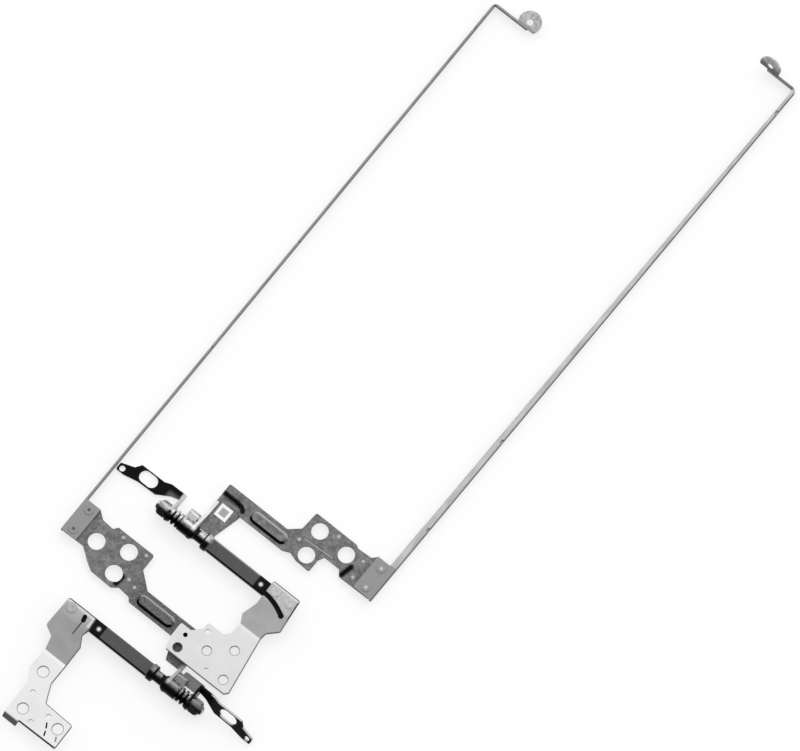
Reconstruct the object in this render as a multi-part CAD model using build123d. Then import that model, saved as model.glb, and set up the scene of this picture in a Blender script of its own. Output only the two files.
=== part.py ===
"""Laptop hinge pair: two friction hinges with stamped brackets and long screen rails.

Millimetres. Each hinge is drawn by itself with its shaft along +X (pointing outboard), its rail
along +Y and the table at Z = 0. The left hinge is mirrored, then both are laid out as a pair.
"""
import os
from dataclasses import dataclass

from build123d import *

# Shaft line
AXIS_Z = 3.2
SHAFT_R = 1.5
FLAT_HEIGHT = 1.1
JOURNAL_R = 1.6
NECK_R = 1.9
NECK_END = 5.4
RING_R = 2.9
RING_END = 7.6
RUNNING_GAP = 0.05
KEY_GAP = 0.02
TIP_CHAMFER = 0.3

# Friction stack, counted inboard from the upright of the display bracket
UPRIGHT_T = 1.0
WASHER_R = 2.7
WASHER_T = 0.4
CAM_R = 2.75
CAM_T = 3.6
CAM_LOBE_R = 1.8
CAM_LOBE_Y = 3.9
CAM_TONGUE_Y = 4.2
SPRING_COUNT = 5
SPRING_R = 2.6
SPRING_T = 0.35
SPRING_RISE = 0.43
TAIL_T = 0.8
END_WASHER_T = 0.6
END_WASHER_R = 2.5
NUT_T = 3.3
NUT_R = 2.7
NUT_DOME = 1.4
TIP_LENGTH = 0.6

CAM_X = -WASHER_T - CAM_T
SPRING_X = CAM_X - SPRING_COUNT * (SPRING_T + SPRING_RISE)
TAIL_X = SPRING_X - WASHER_T - TAIL_T
END_WASHER_X = TAIL_X - END_WASHER_T
NUT_X = END_WASHER_X - NUT_T
TIP_X = NUT_X - TIP_LENGTH

# Flat arm on the outboard end of the shaft
ARM_START = 6.6
ARM_END = 41.4
ARM_HALF_WIDTH = 2.4
ARM_T = 2.0
ARM_BEVEL = 0.5
PIN_X = 28.5
PIN_R = 1.0
RIVET_R = 1.2
RIVET_HEAD_R = 1.75
RIVET_HEAD_T = 0.2

# Sheet metal levels
SHEET = 1.0
LEAF_Z = 0.0
PLATE_Z = 0.8
BASE_Z = 2.4
PAD_Z = AXIS_Z + ARM_T / 2
CORNER_R = 0.7
STRIP_TOP_Y = 19.7
STRIP_LOW_Y = 13.3
STRIP_STEP_Y = 16.5
STRIP_STEP_X = 6.8
JOGGLE_RUN = 1.4
LEAF_TOP_Y = 17.2
LEAF_SHOULDER_Y = 12.8
LEAF_WIDTH = 8.4
LEAF_NARROW = 6.4
LEAF_LAP = 0.6
UPRIGHT_EDGE = [(9.5, 1.7), (7.4, 2.1), (1.3, 5.75)]
UPRIGHT_TOE = 1.2
LOBE_R = 2.9
RIB_HEIGHT = 0.9
RIB_WIDTH = 4.2
RIB_SLOPE = 0.9
RIB_START = 13.4
RIB_END = 23.7
RIB_Y = 16.3
DOT_R = 0.5
DOT_HEIGHT = 0.25
BEAD_WIDTH = 0.5
BEAD_HEIGHT = 0.15
CREASE_WIDTH = 1.0
CREASE_DEPTH = 0.75
SCORE_WIDTH = 0.5
SCORE_DEPTH = 0.3
PAD_RIM = 0.4

# Screen rail
RAIL_T = 0.7
RAIL_Z = PLATE_Z + SHEET + RAIL_T
RAIL_BEND_R = 0.5
RAIL_CORNER_R = 1.6
FOOT_LOW_Y = 18.2
FOOT_TOP_Y = 30.8
EAR_R = 3.8
EAR_SHIFT = 0.5
EAR_LEDGE = 0.15
EAR_HOLE_R = 1.1
NOTCH_WIDTH = 1.4
NOTCH_DEPTH = 0.9
FOOT_GAP = 0.1
FOOT_RIVET_SHARE = 0.54
FOOT_RIVET_SET = 2.4
FOOT_RIVET_R = 1.0
FOOT_RIVET_HEAD_R = 1.5
FOOT_RIVET_HEAD_T = 0.3

# Tail bracket
TAIL_Z = 0.2
TAIL_CORNER_R = 0.5
TAIL_AXIS_Y = 4.65
TAIL_OUTLINE = [(-14.4, 8.1), (-16.6, 7.2), (-25.6, 7.1), (-27.0, 5.0), (-31.5, 3.4), (-31.5, 0.9),
                (-28.4, 0.9), (-23.4, 2.0), (-16.6, 2.2), (-12.2, 4.9)]
TAIL_ROOT = (6.0, 8.2)
TAIL_SLOT_AT = (-21.2, 4.7)
TAIL_HOLE_AT = (-29.9, 2.2)
TAIL_LINK = (3.6, 7.4)
TAIL_LINK_END = -1.2
TAIL_FOOT_Y = 1.0
TAIL_FOOT_RISE = 0.4
TAIL_FLAT_EDGE = [(1.4, 5.6), (8.2, 1.0), (8.2, 0.2)]
TAIL_TILTED_EDGE = [(0.0, 6.0), (4.4, 6.4), (6.2, 6.0), (5.2, 3.8), (6.9, 1.0), (6.9, 0.2)]
TAIL_SLOT_LENGTH = 6.6
TAIL_SLOT_WIDTH = 4.2
TAIL_HOLE_R = 1.0

# Label on the right leaf
LABEL_SIZE = 4.5
LABEL_T = 0.1
LABEL_AT = (4.2, 11.2)

# Layout of the pair: the right hinge's shaft shoulder from the left one's
RIGHT_AT = (-26.3, 43.6)


@dataclass
class Hinge:
    """The sizes in which the two hinges differ, outboard positive."""
    rail_x: float
    rail_top: float
    rail_notches: tuple
    leg_length: float
    rail_splay: float
    rail_lip: tuple
    ear_rise: float
    ear_tilt: float
    leaf_low: float
    plate_upper: list
    plate_lower: list
    boss_holes: tuple
    boss_hole_r: float
    dots: tuple
    beads: tuple
    creases: tuple
    foot_width: float
    base: list
    base_bend: float
    base_holes: tuple
    base_hole_r: float
    base_pilots: tuple
    base_pilot_r: float
    base_scores: tuple
    arm_rivets: tuple
    tail_tilt: float
    tail_centre: tuple


LEFT = Hinge(
    rail_x=58.9, rail_top=238.4, rail_notches=(93.7, 137.8, 227.5), leg_length=13.4,
    rail_splay=0.30, rail_lip=(0.7, 0.7), ear_rise=2.35, ear_tilt=0.0, leaf_low=6.3,
    plate_upper=[(24.6, STRIP_TOP_Y), (30.2, 24.3), (30.3, 30.0), (44.9, 30.0), (45.9, 28.5), (50.2, 28.8)],
    plate_lower=[(50.0, 18.4), (45.6, 15.2), (42.9, 13.6), (34.6, 13.4), (32.6, 15.0), (28.2, 14.6),
                 (27.2, STRIP_LOW_Y)],
    boss_holes=((47.5, 22.2), (37.3, 25.9), (36.7, 17.6)), boss_hole_r=2.85,
    dots=((41.6, 28.4), (32.2, 28.4), (31.6, 18.9), (28.6, 18.0)),
    beads=(), creases=(((33.7, 19.0), (34.1, 14.8)),), foot_width=6.1,
    base=[(42.2, 2.2), (31.0, 2.2), (30.5, -2.6), (31.2, -4.9), (29.2, -8.3), (29.1, -23.0),
          (26.4, -29.0), (15.3, -29.4), (15.0, -38.8), (35.1, -39.0), (35.3, -27.1), (38.0, -23.3),
          (37.8, -15.4), (38.9, -11.0), (42.4, -9.2)],
    base_bend=-15.5,
    base_holes=((33.6, -21.6), (31.1, -34.9), (18.3, -33.2)), base_hole_r=1.8,
    base_pilots=((31.9, -28.9), (26.3, -36.8), (23.0, -32.0)), base_pilot_r=0.95,
    base_scores=(((22.2, -33.8), (21.4, -35.2)), ((20.9, -36.2), (20.4, -37.5)),
                 ((17.0, -35.6), (16.4, -36.8))),
    arm_rivets=((39.5, -0.1),), tail_tilt=58.0, tail_centre=(3.9, 3.5))

RIGHT = Hinge(
    rail_x=58.5, rail_top=232.85, rail_notches=(47.4, 84.5, 223.0), leg_length=11.6,
    rail_splay=0.15, rail_lip=(2.2, 1.0), ear_rise=1.6, ear_tilt=65.0, leaf_low=2.7,
    plate_upper=[(23.4, STRIP_TOP_Y), (26.9, 22.8), (27.3, 29.6), (43.7, 29.6), (44.7, 28.9), (50.0, 29.2)],
    plate_lower=[(45.7, 18.0), (44.2, 20.0), (38.2, 20.0), (37.2, 17.9), (37.2, 13.3), (31.6, 13.5),
                 (28.8, 14.4), (26.4, STRIP_LOW_Y)],
    boss_holes=((31.8, 25.7), (43.1, 25.0), (33.3, 17.0)), boss_hole_r=2.8,
    dots=((37.6, 28.0), (48.7, 26.6), (28.4, 19.4), (49.4, 20.5)),
    beads=(((29.6, 20.6), (40.6, 21.3)),), creases=(((45.9, 18.4), (47.0, 23.4)),), foot_width=7.1,
    base=[(31.0, 3.5), (41.8, 3.5), (43.1, -8.2), (39.8, -11.4), (39.5, -13.7), (42.8, -33.7),
          (41.6, -35.0), (18.0, -35.0), (16.7, -30.5), (16.6, -25.3), (20.6, -25.3), (23.3, -22.4),
          (23.4, -19.9), (29.4, -20.0), (31.1, -18.0), (31.3, -13.7), (29.8, -10.9), (31.4, -5.7)],
    base_bend=-13.7,
    base_holes=((35.5, -21.8), (38.6, -31.4), (20.7, -32.3), (28.6, -27.3)), base_hole_r=1.5,
    base_pilots=((20.1, -27.6), (25.0, -22.3), (32.5, -32.3)), base_pilot_r=0.75, base_scores=(),
    arm_rivets=((33.8, 0.9), (39.6, 0.8)), tail_tilt=0.0, tail_centre=(TAIL_AXIS_Y, TAIL_Z + TAIL_T / 2))

# Features that only one base bracket has
LEFT_DROP = ((34.3, 0.2), (34.0, -1.0))
LEFT_DROP_WIDTH = 1.5
LEFT_SCORE_END = (33.9, -6.6)
LEFT_SCORE_WIDTH = 0.3
LEFT_TAB = (29.8, 35.1)
LEFT_TAB_RUN = 1.5
LEFT_TAB_LOW = 0.6
RIGHT_SLOT = ((30.6, -1.5), (35.5, -2.2), (40.0, -4.1))
RIGHT_SLOT_WIDTH = 1.4
RIGHT_SLOT_DEPTH = 0.75
BASE_PAD_END = -3.2


def sheet(points, bottom, thickness, corner=CORNER_R):
    """A flat stamping with rounded corners."""
    outline = make_face(FilletPolyline(*points, radius=corner, close=True))
    return Pos(0, 0, bottom) * extrude(outline, thickness)


def post(at, radius, bottom, top):
    """An upright cylinder between two heights."""
    return Pos(at[0], at[1], (bottom + top) / 2) * Cylinder(radius, top - bottom)


def groove(start, end, width, bottom, top):
    """A round-ended straight channel between two points."""
    path = Line(start, end)
    outline = SlotCenterToCenter(path.length, width, rotation=path_angle(start, end))
    return Pos(0, 0, bottom) * extrude(outline, top - bottom).moved(Location(path @ 0.5))


def path_angle(start, end):
    """The direction of a line in degrees."""
    return Vector(1, 0, 0).get_signed_angle(Vector(*end, 0) - Vector(*start, 0), Vector(0, 0, 1))


def disc(radius, start, end):
    """A cylinder on the shaft line."""
    return Pos((start + end) / 2, 0, AXIS_Z) * Rot(0, 90, 0) * Cylinder(radius, end - start)


def turned(profile):
    """A profile of (x, radius) points turned about the shaft line."""
    return Pos(0, 0, AXIS_Z) * revolve(make_face(Polyline(*profile, close=True)), Axis.X)


def side_plate(points, start, thickness, extra=None):
    """A plate square to the shaft, from (y, z) points, with an optional round lobe."""
    face = Plane.YZ * make_face(Polyline(*points, close=True))
    plate = Pos(start, 0, 0) * extrude(face, thickness, dir=(1, 0, 0))
    return plate if extra is None else plate + extra


def keyed(start, end):
    """The D-shaped hole that turns a washer with the shaft."""
    hole = disc(SHAFT_R + KEY_GAP, start, end)
    flat = FLAT_HEIGHT + KEY_GAP
    waste = Pos((start + end) / 2, 0, AXIS_Z + flat + SHAFT_R) * Box(end - start, 4 * SHAFT_R, 2 * SHAFT_R)
    return hole - waste


def shaft_arm(hinge):
    """Turned shaft with its stop ring, running on into a flat riveting arm."""
    shaft = turned([(TIP_X, 0), (TIP_X, SHAFT_R - TIP_CHAMFER), (TIP_X + TIP_CHAMFER, SHAFT_R), (0, SHAFT_R),
                    (0, JOURNAL_R), (UPRIGHT_T + WASHER_T, JOURNAL_R), (UPRIGHT_T + WASHER_T, NECK_R),
                    (NECK_END, NECK_R), (NECK_END, RING_R - TIP_CHAMFER), (NECK_END + TIP_CHAMFER, RING_R),
                    (RING_END - TIP_CHAMFER, RING_R), (RING_END, RING_R - TIP_CHAMFER), (RING_END, 0)])
    shaft -= Pos(TIP_X / 2, 0, AXIS_Z + FLAT_HEIGHT + SHAFT_R) * Box(-TIP_X, 4 * SHAFT_R, 2 * SHAFT_R)
    outline = [(ARM_START, -ARM_HALF_WIDTH), (ARM_END, -ARM_HALF_WIDTH), (ARM_END, ARM_HALF_WIDTH),
               (ARM_START, ARM_HALF_WIDTH)]
    arm = sheet(outline, AXIS_Z - ARM_T / 2, ARM_T)
    top_edges = arm.edges().filter_by(Axis.X).group_by(Axis.Z)[-1]
    arm = chamfer(top_edges, ARM_BEVEL)
    whole = shaft + arm
    for at in hinge.arm_rivets:
        whole -= post(at, RIVET_R + KEY_GAP, 0, PAD_Z)
    return whole - post((PIN_X, 0), PIN_R + KEY_GAP, 0, PAD_Z)


def base_sheet(hinge):
    """The base bracket's outline laid on its bent section, with a coined rim round the riveting pad."""
    widths, lengths = zip(*hinge.base)
    top = [(max(lengths), PAD_Z + SHEET), (BASE_PAD_END, PAD_Z + SHEET), (hinge.base_bend, BASE_Z + SHEET),
           (min(lengths), BASE_Z + SHEET)]
    bottom = [(y, z - SHEET) for y, z in reversed(top)]
    bent = side_plate(top + bottom, 0, max(widths)) & sheet(hinge.base, 0, PAD_Z + 2 * SHEET)
    pad_edges = bent.edges().group_by(Axis.Z)[-1]
    rim = [edge for edge in pad_edges if edge.center().Y > BASE_PAD_END + PAD_RIM]
    return chamfer(rim, PAD_RIM)


def left_base_features(bracket):
    """The left base bracket with its turned-down tab, teardrop hole and score line."""
    end = min(y for x, y in LEFT.base)
    plate_top = BASE_Z + SHEET
    profile = [(end + SHEET, plate_top), (end, plate_top), (end - LEFT_TAB_RUN, LEFT_TAB_LOW),
               (end - LEFT_TAB_RUN + SHEET, LEFT_TAB_LOW), (end + SHEET, BASE_Z)]
    bracket += side_plate(profile, LEFT_TAB[0], LEFT_TAB[1] - LEFT_TAB[0])
    bracket -= groove(*LEFT_DROP, LEFT_DROP_WIDTH, PAD_Z, PAD_Z + SHEET)
    return bracket - groove(LEFT_DROP[1], LEFT_SCORE_END, LEFT_SCORE_WIDTH, PAD_Z + SHEET / 2, PAD_Z + SHEET)


def right_base_features(bracket):
    """The right base bracket with its curved groove."""
    path = Pos(0, 0, PAD_Z + SHEET) * ThreePointArc(*RIGHT_SLOT)
    section = Plane(origin=path @ 0, x_dir=(0, 0, 1), z_dir=path % 0)
    bracket -= sweep(section * Rectangle(2 * RIGHT_SLOT_DEPTH, RIGHT_SLOT_WIDTH), path=path)
    floor = PAD_Z + SHEET - RIGHT_SLOT_DEPTH
    return bracket - post(RIGHT_SLOT[-1], RIGHT_SLOT_WIDTH / 2, floor, PAD_Z + 2 * SHEET)


def base_bracket(hinge):
    """Stamped bracket that screws to the laptop's base."""
    bracket = base_sheet(hinge)
    bracket = left_base_features(bracket) if hinge is LEFT else right_base_features(bracket)
    plate_top = BASE_Z + SHEET
    for start, end in hinge.base_scores:
        bracket -= groove(start, end, SCORE_WIDTH, plate_top - SCORE_DEPTH, plate_top)
    for at in hinge.base_holes:
        bracket -= post(at, hinge.base_hole_r, 0, PAD_Z)
    for at in hinge.base_pilots:
        bracket -= post(at, hinge.base_pilot_r, 0, PAD_Z)
    for at in hinge.arm_rivets:
        bracket -= post(at, RIVET_R + KEY_GAP, PAD_Z, PAD_Z + SHEET)
    return bracket


def arm_rivets(hinge):
    """Flush rivets of the base bracket and the bright pin of the arm."""
    pieces = [post((PIN_X, 0), PIN_R, PAD_Z - ARM_T, PAD_Z + RIVET_HEAD_T)]
    for at in hinge.arm_rivets:
        shank = post(at, RIVET_R, PAD_Z - ARM_T, PAD_Z + SHEET)
        pieces.append(shank + post(at, RIVET_HEAD_R, PAD_Z + SHEET, PAD_Z + SHEET + RIVET_HEAD_T))
    return pieces


def friction_washers():
    """Two plain washers that rub on the upright of the display bracket, and one on the tail bracket."""
    inner = disc(WASHER_R, -WASHER_T, 0) - keyed(-WASHER_T, 0)
    outer = disc(WASHER_R, UPRIGHT_T, UPRIGHT_T + WASHER_T)
    outer -= disc(JOURNAL_R + KEY_GAP, UPRIGHT_T, UPRIGHT_T + WASHER_T)
    thrust = disc(WASHER_R, SPRING_X - WASHER_T, SPRING_X) - keyed(SPRING_X - WASHER_T, SPRING_X)
    return [inner, outer, thrust]


def spring_washers():
    """Coned spring washers, set face to face and back to back."""
    bore = SHAFT_R + KEY_GAP
    pitch = SPRING_T + SPRING_RISE
    pieces = []
    for index in range(SPRING_COUNT):
        start = SPRING_X + index * pitch
        inner, outer = (0, SPRING_RISE) if index % 2 else (SPRING_RISE, 0)
        pieces.append(turned([(start + inner, bore), (start + outer, SPRING_R),
                              (start + outer + SPRING_T, SPRING_R), (start + inner + SPRING_T, bore)]))
    return pieces


def end_washer():
    """Plain washer under the nut."""
    return disc(END_WASHER_R, END_WASHER_X, TAIL_X) - keyed(END_WASHER_X, TAIL_X)


def lock_nut():
    """Hexagon nut with its outer end domed."""
    hexagon = extrude(Plane.YZ * RegularPolygon(NUT_R, 6), NUT_T, dir=(1, 0, 0))
    dome = RadiusArc((NUT_X, NUT_R - NUT_DOME), (NUT_X + NUT_DOME, NUT_R), NUT_DOME)
    body = Polyline(dome @ 1, (END_WASHER_X, NUT_R), (END_WASHER_X, 0), (NUT_X, 0), dome @ 0)
    crown = Pos(0, 0, AXIS_Z) * revolve(make_face([dome, body]), Axis.X)
    return (Pos(NUT_X, 0, AXIS_Z) * hexagon & crown) - disc(SHAFT_R + KEY_GAP, NUT_X, END_WASHER_X)


def detent_cam():
    """Cam block round the shaft, held from turning by a lobe that sits on the upright."""
    lobe = Pos(0, CAM_LOBE_Y, 0) * disc(CAM_LOBE_R, CAM_X, -WASHER_T)
    neck = Pos((CAM_X - WASHER_T) / 2, CAM_LOBE_Y / 2, AXIS_Z) * Box(CAM_T, CAM_LOBE_Y, 2 * CAM_LOBE_R)
    tongue = Pos(0, CAM_TONGUE_Y, 0) * disc(CAM_LOBE_R / 2, -WASHER_T, 0)
    return disc(CAM_R, CAM_X, -WASHER_T) + lobe + neck + tongue - disc(SHAFT_R + RUNNING_GAP, CAM_X, 0)


def foot_rivets(hinge):
    """The places of the two rivets that hold the rail's foot."""
    x = hinge.rail_x - FOOT_RIVET_SHARE * hinge.foot_width
    return (x, FOOT_TOP_Y - FOOT_RIVET_SET), (x, FOOT_LOW_Y + FOOT_RIVET_SET)


def lid_sheet(hinge):
    """The lid bracket's boss plate and strip, joggled down to a lower leaf at its inboard end."""
    outer = hinge.rail_x - RAIL_T - FOOT_GAP
    foot = [(hinge.rail_x - hinge.foot_width, FOOT_TOP_Y), (outer, FOOT_TOP_Y), (outer, FOOT_LOW_Y)]
    step = [(LEAF_WIDTH, STRIP_LOW_Y), (STRIP_STEP_X, STRIP_STEP_Y), (0, STRIP_STEP_Y), (0, STRIP_TOP_Y)]
    upper = sheet(hinge.plate_upper + foot + hinge.plate_lower + step, PLATE_Z, SHEET)
    side = LEAF_WIDTH + LEAF_LAP
    leaf = [(0, hinge.leaf_low), (0, LEAF_TOP_Y), (side, LEAF_TOP_Y), (side, LEAF_SHOULDER_Y),
            (LEAF_NARROW, hinge.leaf_low)]
    joggle = [(LEAF_TOP_Y, PLATE_Z + SHEET), (STRIP_STEP_Y, PLATE_Z + SHEET),
              (STRIP_STEP_Y - JOGGLE_RUN, LEAF_Z + SHEET), (LEAF_TOP_Y, LEAF_Z + SHEET)]
    return upper + sheet(leaf, LEAF_Z, SHEET) + side_plate(joggle, 0, STRIP_STEP_X)


def display_bracket(hinge):
    """Stamped bracket of the lid: boss plate, ribbed strip, lowered leaf and upright on the shaft."""
    upright = [(LEAF_TOP_Y, LEAF_Z), (LEAF_TOP_Y, LEAF_Z + SHEET), *UPRIGHT_EDGE, (0, AXIS_Z),
               (UPRIGHT_TOE, LEAF_Z)]
    bracket = lid_sheet(hinge) + side_plate(upright, 0, UPRIGHT_T, disc(LOBE_R, 0, UPRIGHT_T))
    bracket -= disc(JOURNAL_R + RUNNING_GAP, 0, UPRIGHT_T)
    top = PLATE_Z + SHEET
    rib = groove((RIB_START, RIB_Y), (RIB_END, RIB_Y), RIB_WIDTH, top, top + RIB_HEIGHT)
    bracket += chamfer(rib.faces().sort_by(Axis.Z)[-1].edges(), RIB_HEIGHT * RIB_SLOPE)
    bracket -= groove((RIB_START, RIB_Y), (RIB_END, RIB_Y), RIB_WIDTH / 3, PLATE_Z, PLATE_Z + RIB_HEIGHT)
    for at in hinge.dots:
        bracket += post(at, DOT_R, top, top + DOT_HEIGHT)
    for start, end in hinge.beads:
        bracket += groove(start, end, BEAD_WIDTH, top, top + BEAD_HEIGHT)
    for start, end in hinge.creases:
        bracket -= groove(start, end, CREASE_WIDTH, top - CREASE_DEPTH, top)
    for at in hinge.boss_holes:
        bracket -= post(at, hinge.boss_hole_r, 0, top)
    for at in foot_rivets(hinge):
        bracket -= post(at, FOOT_RIVET_R + KEY_GAP, 0, top)
    return bracket


def rail_ear(hinge):
    """Round screw ear on the end of the rail's leg, bent up on the right rail."""
    ear = post((0, hinge.ear_rise), EAR_R, -RAIL_T, 0)
    reach = hinge.ear_rise + EAR_R
    ear &= Pos(0, reach / 2, 0) * Box(2 * EAR_R, reach, 2 * RAIL_T)
    ear -= post((0, hinge.ear_rise), EAR_HOLE_R, -RAIL_T, 0)
    leg_end = (hinge.rail_x - hinge.leg_length + EAR_SHIFT, hinge.rail_top - RAIL_T + EAR_LEDGE, RAIL_Z)
    return Pos(*leg_end) * Rot(hinge.ear_tilt, 0, 0) * ear


def rail_strip(hinge):
    """The rail's long edge with its tapering lip, its end leg, its ear and its notches, splayed outboard."""
    inner_x = hinge.rail_x - RAIL_T
    leg_x = hinge.rail_x - hinge.leg_length
    leg_y = hinge.rail_top - RAIL_T
    edge = make_face(Polyline((hinge.rail_x, FOOT_LOW_Y), (hinge.rail_x, hinge.rail_top),
                              (leg_x, hinge.rail_top), (leg_x, leg_y), (inner_x, leg_y),
                              (inner_x, FOOT_LOW_Y), close=True))
    corner = edge.vertices().sort_by_distance((hinge.rail_x, hinge.rail_top))[0]
    strip = extrude(fillet(corner, RAIL_CORNER_R), RAIL_Z)
    outer = strip.edges().filter_by(Axis.Y).group_by(Axis.Z)[-1].sort_by(Axis.X)[-1]
    strip = fillet(outer, RAIL_BEND_R) + rail_ear(hinge)
    lip_x = hinge.rail_x - RAIL_BEND_R
    foot_lip, end_lip = hinge.rail_lip
    lip = make_face(Polyline((lip_x, FOOT_TOP_Y), (hinge.rail_x - foot_lip, FOOT_TOP_Y),
                             (hinge.rail_x - end_lip, leg_y), (lip_x, leg_y), close=True))
    strip += Pos(0, 0, RAIL_Z - RAIL_T) * extrude(lip, RAIL_T)
    for y in hinge.rail_notches:
        strip -= Pos(hinge.rail_x, y, RAIL_Z) * Box(2 * RAIL_T, NOTCH_WIDTH, 2 * NOTCH_DEPTH)
    pivot = (hinge.rail_x, FOOT_TOP_Y, 0)
    return Pos(*pivot) * Rot(0, 0, -hinge.rail_splay) * Pos(-pivot[0], -pivot[1], 0) * strip


def lcd_rail(hinge):
    """Screen rail folded from one strip: riveted foot, long edge, end leg and screw ear."""
    foot_z = PLATE_Z + SHEET
    foot_x = hinge.rail_x - hinge.foot_width
    lap_x = hinge.rail_x - RAIL_T / 2
    foot = make_face(Polyline((foot_x, FOOT_LOW_Y), (lap_x, FOOT_LOW_Y), (lap_x, FOOT_TOP_Y),
                              (foot_x, FOOT_TOP_Y), close=True))
    rail = rail_strip(hinge) + Pos(0, 0, foot_z) * extrude(foot, RAIL_T)
    for at in foot_rivets(hinge):
        rail -= post(at, FOOT_RIVET_R + KEY_GAP, foot_z, RAIL_Z)
    return rail


def rail_rivets(hinge):
    """Two low-headed rivets that hold the rail's foot."""
    pieces = []
    for at in foot_rivets(hinge):
        shank = post(at, FOOT_RIVET_R, PLATE_Z, RAIL_Z)
        head = post(at, FOOT_RIVET_HEAD_R, RAIL_Z, RAIL_Z + FOOT_RIVET_HEAD_T)
        dimple = post(at, FOOT_RIVET_R / 2, RAIL_Z + FOOT_RIVET_HEAD_T / 2, RAIL_Z + FOOT_RIVET_HEAD_T)
        pieces.append(shank + head - dimple)
    return pieces


def tail_bracket(hinge):
    """Black tail: an upright on the shaft and an arm with an oval slot and a screw hole at its tip."""
    half = TAIL_T / 2
    root = [(TAIL_X + TAIL_T, TAIL_ROOT[0]), (TAIL_X + TAIL_T, TAIL_ROOT[1]), (TAIL_X, TAIL_ROOT[1])]
    arm = sheet(TAIL_OUTLINE + root, -half, TAIL_T, corner=TAIL_CORNER_R)
    oval = SlotOverall(TAIL_SLOT_LENGTH, TAIL_SLOT_WIDTH)
    arm -= Pos(*TAIL_SLOT_AT, 0) * extrude(oval, TAIL_T, both=True)
    arm -= post(TAIL_HOLE_AT, TAIL_HOLE_R, -half, half)
    arm = Pos(0, *hinge.tail_centre) * Rot(hinge.tail_tilt, 0, 0) * Pos(0, -TAIL_AXIS_Y, 0) * arm
    edge = TAIL_FLAT_EDGE
    if hinge is LEFT:
        edge = TAIL_TILTED_EDGE
        low, high = TAIL_LINK
        link = [(TAIL_X, low), (TAIL_X, high), (TAIL_LINK_END, high), (TAIL_LINK_END, low)]
        arm += sheet(link, TAIL_Z, TAIL_T)
    upright = side_plate([*edge, (TAIL_FOOT_Y, TAIL_Z + TAIL_FOOT_RISE)], TAIL_X, TAIL_T,
                         disc(LOBE_R, TAIL_X, TAIL_X + TAIL_T))
    return arm + upright - disc(SHAFT_R + RUNNING_GAP, TAIL_X, TAIL_X + TAIL_T)


def label():
    """Small square paper label on the right leaf."""
    return Pos(*LABEL_AT, LEAF_Z + SHEET + LABEL_T / 2) * Box(LABEL_SIZE, LABEL_SIZE, LABEL_T)


def hinge_pieces(hinge):
    """Every piece of one hinge by name, each as a list of solids."""
    pieces = {
        "display_bracket": [display_bracket(hinge)],
        "lcd_rail": [lcd_rail(hinge)],
        "rail_rivets": rail_rivets(hinge),
        "tail_bracket": [tail_bracket(hinge)],
        "detent_cam": [detent_cam()],
        "shaft_arm": [shaft_arm(hinge)],
        "base_bracket": [base_bracket(hinge)],
        "arm_rivets": arm_rivets(hinge),
        "friction_washers": friction_washers(),
        "spring_washers": spring_washers(),
        "end_washer": [end_washer()],
        "lock_nut": [lock_nut()],
    }
    if hinge is RIGHT:
        pieces["label"] = [label()]
    return pieces


def laid_out():
    """All nodes of the pair in the layout, the left hinge's shaft line through the origin."""
    nodes = {}
    for name, solids in hinge_pieces(LEFT).items():
        nodes[f"left_{name}"] = Compound([mirror(solid, about=Plane.YZ) for solid in solids])
    for name, solids in hinge_pieces(RIGHT).items():
        nodes[f"right_{name}"] = Compound([Pos(*RIGHT_AT, 0) * solid for solid in solids])
    return nodes


def main():
    """Centre the pair on its footprint, write one file per node and print the hinge lines."""
    nodes = laid_out()
    box = Compound(list(nodes.values())).bounding_box()
    centre = (box.min + box.max) / 2
    shift = Location((-centre.X, -centre.Y, -box.min.Z))
    os.makedirs("parts", exist_ok=True)
    for name, node in nodes.items():
        export_step(node.moved(shift), f"parts/{name}.step")
    print("size", box.size)
    print("left hinge line", shift.position.X, shift.position.Y, AXIS_Z + shift.position.Z)
    print("right hinge line", RIGHT_AT[0] + shift.position.X, RIGHT_AT[1] + shift.position.Y,
          AXIS_Z + shift.position.Z)


main()
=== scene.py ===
"""Finishes, fine pieces and studio for a pair of laptop friction hinges.

The frame holds every solid of the two hinges in metres. The operators below give each solid its finish,
add the pieces that are too fine for the solids, and set the photograph's studio.
"""
import math

import bmesh
import bpy
from bpy.props import FloatProperty, FloatVectorProperty, IntProperty, PointerProperty
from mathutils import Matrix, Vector


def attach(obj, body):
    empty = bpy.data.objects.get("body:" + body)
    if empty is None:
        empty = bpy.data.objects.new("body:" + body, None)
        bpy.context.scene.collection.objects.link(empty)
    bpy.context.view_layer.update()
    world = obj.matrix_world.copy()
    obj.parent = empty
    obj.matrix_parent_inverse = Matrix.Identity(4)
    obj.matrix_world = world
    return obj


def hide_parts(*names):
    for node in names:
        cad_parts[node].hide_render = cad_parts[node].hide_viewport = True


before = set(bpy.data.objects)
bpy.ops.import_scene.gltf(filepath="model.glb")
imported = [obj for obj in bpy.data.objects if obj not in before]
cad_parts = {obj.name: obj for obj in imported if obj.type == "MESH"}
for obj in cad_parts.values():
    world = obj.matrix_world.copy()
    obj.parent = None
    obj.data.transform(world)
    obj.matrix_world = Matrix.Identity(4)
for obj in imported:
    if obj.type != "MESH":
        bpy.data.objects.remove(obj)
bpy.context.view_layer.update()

bl_info = {
    "name": "Laptop hinge pair",
    "version": (1, 0, 0),
    "blender": (4, 5, 0),
    "location": "3D View > Sidebar > Hinges",
    "description": "Finishes, fine pieces and studio for a pair of laptop friction hinges",
    "category": "Object",
}

SIDES = ("left", "right")
MM = 0.001

# A coat darker than this, whether grease, black paint or painted shade, shines least
DARK_COAT_LEVEL = 0.08

# Each hinge's own axes in the frame: where its shaft meets the upright, and which way is outboard along X
HINGE_POINT = {"left": (13.627, -119.172), "right": (-12.673, -75.572)}
OUTBOARD = {"left": -1.0, "right": 1.0}
BASE_BODY = {"left": "left_base", "right": "right_base"}
LID_BODY = "display_sides"

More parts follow.
